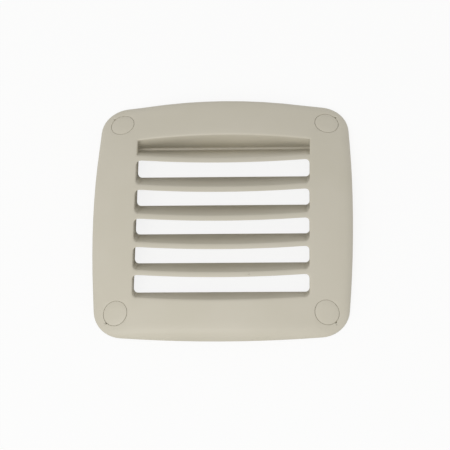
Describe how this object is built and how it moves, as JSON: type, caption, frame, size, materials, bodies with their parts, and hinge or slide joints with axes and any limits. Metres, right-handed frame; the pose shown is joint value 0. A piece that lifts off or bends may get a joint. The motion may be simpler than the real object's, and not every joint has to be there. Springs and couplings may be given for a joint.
{
  "type": "ventilation grille",
  "caption": "Square domed plastic vent grille with sloping louvre blades, a blind trough above them and snap-in caps over the corner screws.",
  "frame": {"origin": "middle of the flat back plane that rests against the wall or panel", "axes": "+Z straight out of the domed front, +Y towards the blind trough (up when mounted on a wall), +X to the right seen from the front"},
  "size_m": [0.125, 0.125, 0.0174],
  "materials": {
    "grille_plastic": "cream ABS, fine satin moulding texture",
    "cap_plastic": "cream ABS, fine satin moulding texture"
  },
  "bodies": {
    "root": {"grille_body": "grille_plastic", "screw_cap_top_left": "cap_plastic", "screw_cap_top_right": "cap_plastic", "screw_cap_bottom_left": "cap_plastic", "screw_cap_bottom_right": "cap_plastic"}
  },
  "joints": []
}
